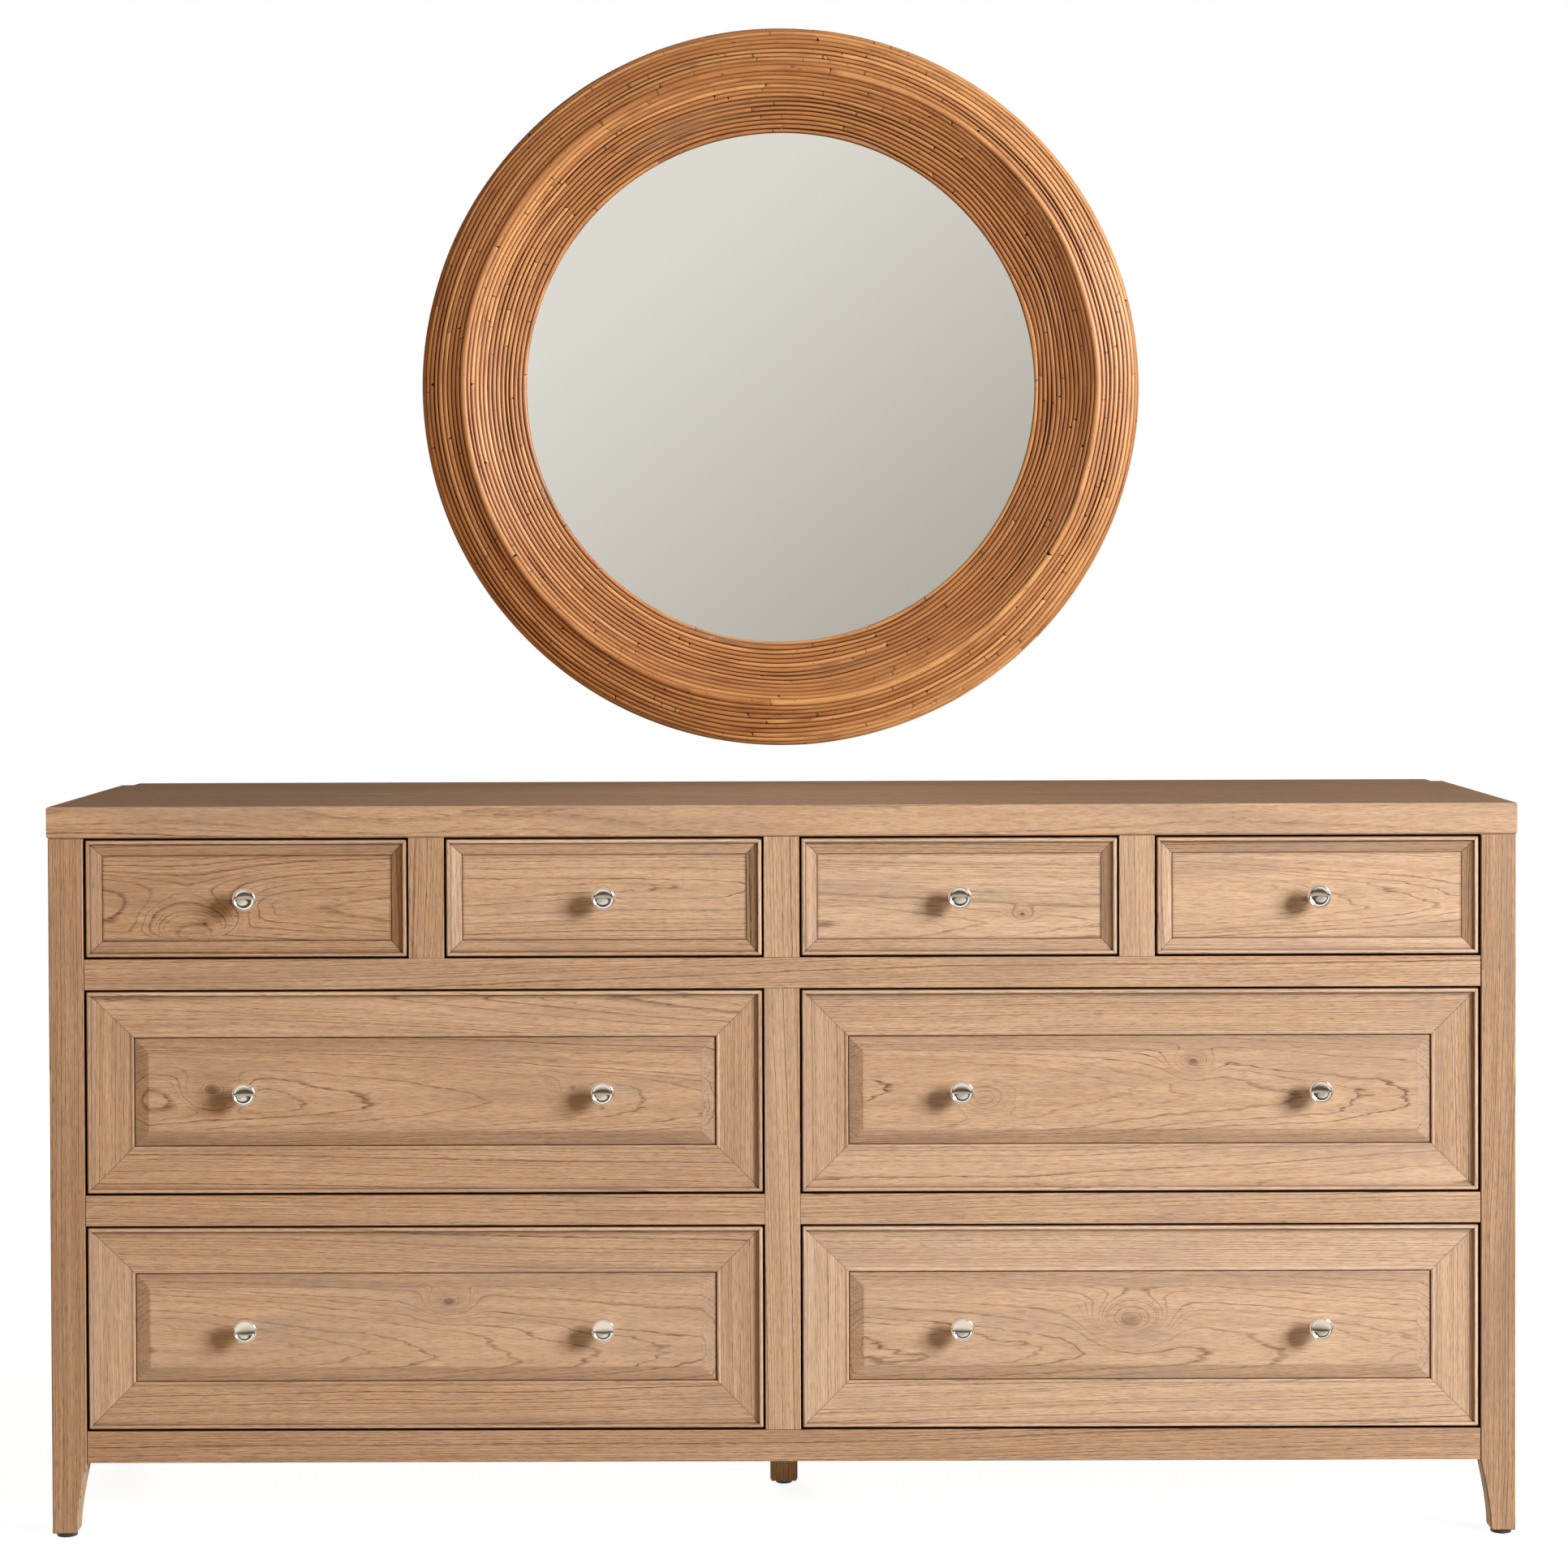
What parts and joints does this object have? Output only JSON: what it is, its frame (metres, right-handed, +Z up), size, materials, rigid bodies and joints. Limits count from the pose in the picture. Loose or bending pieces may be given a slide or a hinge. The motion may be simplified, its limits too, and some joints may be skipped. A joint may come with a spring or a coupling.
{
  "type": "dresser with mirror",
  "caption": "Long oak dresser with inset panelled drawers on slides and a round reed-framed wall mirror hung above it.",
  "frame": {"origin": "floor level, midway between the dresser's ends and midway between the knobs' faces and the wall", "axes": "+X to the dresser's right seen from the front, +Y from the front to the wall, +Z up"},
  "size_m": [1.829, 0.526, 1.9595],
  "materials": {
    "case_oak": "light washed oak, satin",
    "drawer_oak": "light washed oak, satin",
    "inner_wood": "plain sealed hardwood",
    "back_wood": "unfinished board",
    "knob_metal": "polished warm nickel",
    "glide": "dark moulded",
    "rattan": "lacquered rattan reed",
    "silvered_glass": "polished silvered glass",
    "hanger_steel": "zinc plated"
  },
  "bodies": {
    "carcass": {"top_board": "case_oak", "leg_front_left": "case_oak", "leg_front_right": "case_oak", "leg_rear_left": "case_oak", "leg_rear_right": "case_oak", "side_panel_left": "case_oak", "side_panel_right": "case_oak", "back_panel": "back_wood", "bottom_rail": "case_oak", "lower_rail_left": "case_oak", "lower_rail_right": "case_oak", "upper_rail": "case_oak", "centre_stile": "case_oak", "top_stile_left": "case_oak", "top_stile_centre": "case_oak", "top_stile_right": "case_oak", "centre_partition": "inner_wood", "upper_runner_board": "inner_wood", "lower_runner_board_left": "inner_wood", "lower_runner_board_right": "inner_wood", "bottom_runner_board": "inner_wood", "centre_foot": "case_oak", "glide_front_left": "glide", "glide_front_right": "glide", "glide_rear_left": "glide", "glide_rear_right": "glide", "glide_centre": "glide", "mirror_reed_wrap": "rattan", "mirror_core": "back_wood", "mirror_glass": "silvered_glass", "mirror_back_board": "back_wood", "mirror_hanger": "hanger_steel"},
    "drawer_top_far_left": {"drawer_front_top_far_left": "drawer_oak", "drawer_box_top_far_left": "inner_wood", "knob_top_far_left": "knob_metal"},
    "drawer_top_left": {"drawer_front_top_left": "drawer_oak", "drawer_box_top_left": "inner_wood", "knob_top_left": "knob_metal"},
    "drawer_top_right": {"drawer_front_top_right": "drawer_oak", "drawer_box_top_right": "inner_wood", "knob_top_right": "knob_metal"},
    "drawer_top_far_right": {"drawer_front_top_far_right": "drawer_oak", "drawer_box_top_far_right": "inner_wood", "knob_top_far_right": "knob_metal"},
    "drawer_middle_left": {"drawer_front_middle_left": "drawer_oak", "drawer_box_middle_left": "inner_wood", "knob_middle_left_left": "knob_metal", "knob_middle_left_right": "knob_metal"},
    "drawer_middle_right": {"drawer_front_middle_right": "drawer_oak", "drawer_box_middle_right": "inner_wood", "knob_middle_right_left": "knob_metal", "knob_middle_right_right": "knob_metal"},
    "drawer_bottom_left": {"drawer_front_bottom_left": "drawer_oak", "drawer_box_bottom_left": "inner_wood", "knob_bottom_left_left": "knob_metal", "knob_bottom_left_right": "knob_metal"},
    "drawer_bottom_right": {"drawer_front_bottom_right": "drawer_oak", "drawer_box_bottom_right": "inner_wood", "knob_bottom_right_left": "knob_metal", "knob_bottom_right_right": "knob_metal"}
  },
  "joints": [
    {"name": "slide_top_far_left", "type": "slide", "parent": "carcass", "child": "drawer_top_far_left", "axis": [0, -1, 0], "range_m": [0, 0.32]},
    {"name": "slide_top_left", "type": "slide", "parent": "carcass", "child": "drawer_top_left", "axis": [0, -1, 0], "range_m": [0, 0.32]},
    {"name": "slide_top_right", "type": "slide", "parent": "carcass", "child": "drawer_top_right", "axis": [0, -1, 0], "range_m": [0, 0.32]},
    {"name": "slide_top_far_right", "type": "slide", "parent": "carcass", "child": "drawer_top_far_right", "axis": [0, -1, 0], "range_m": [0, 0.32]},
    {"name": "slide_middle_left", "type": "slide", "parent": "carcass", "child": "drawer_middle_left", "axis": [0, -1, 0], "range_m": [0, 0.32]},
    {"name": "slide_middle_right", "type": "slide", "parent": "carcass", "child": "drawer_middle_right", "axis": [0, -1, 0], "range_m": [0, 0.32]},
    {"name": "slide_bottom_left", "type": "slide", "parent": "carcass", "child": "drawer_bottom_left", "axis": [0, -1, 0], "range_m": [0, 0.32]},
    {"name": "slide_bottom_right", "type": "slide", "parent": "carcass", "child": "drawer_bottom_right", "axis": [0, -1, 0], "range_m": [0, 0.32]}
  ]
}
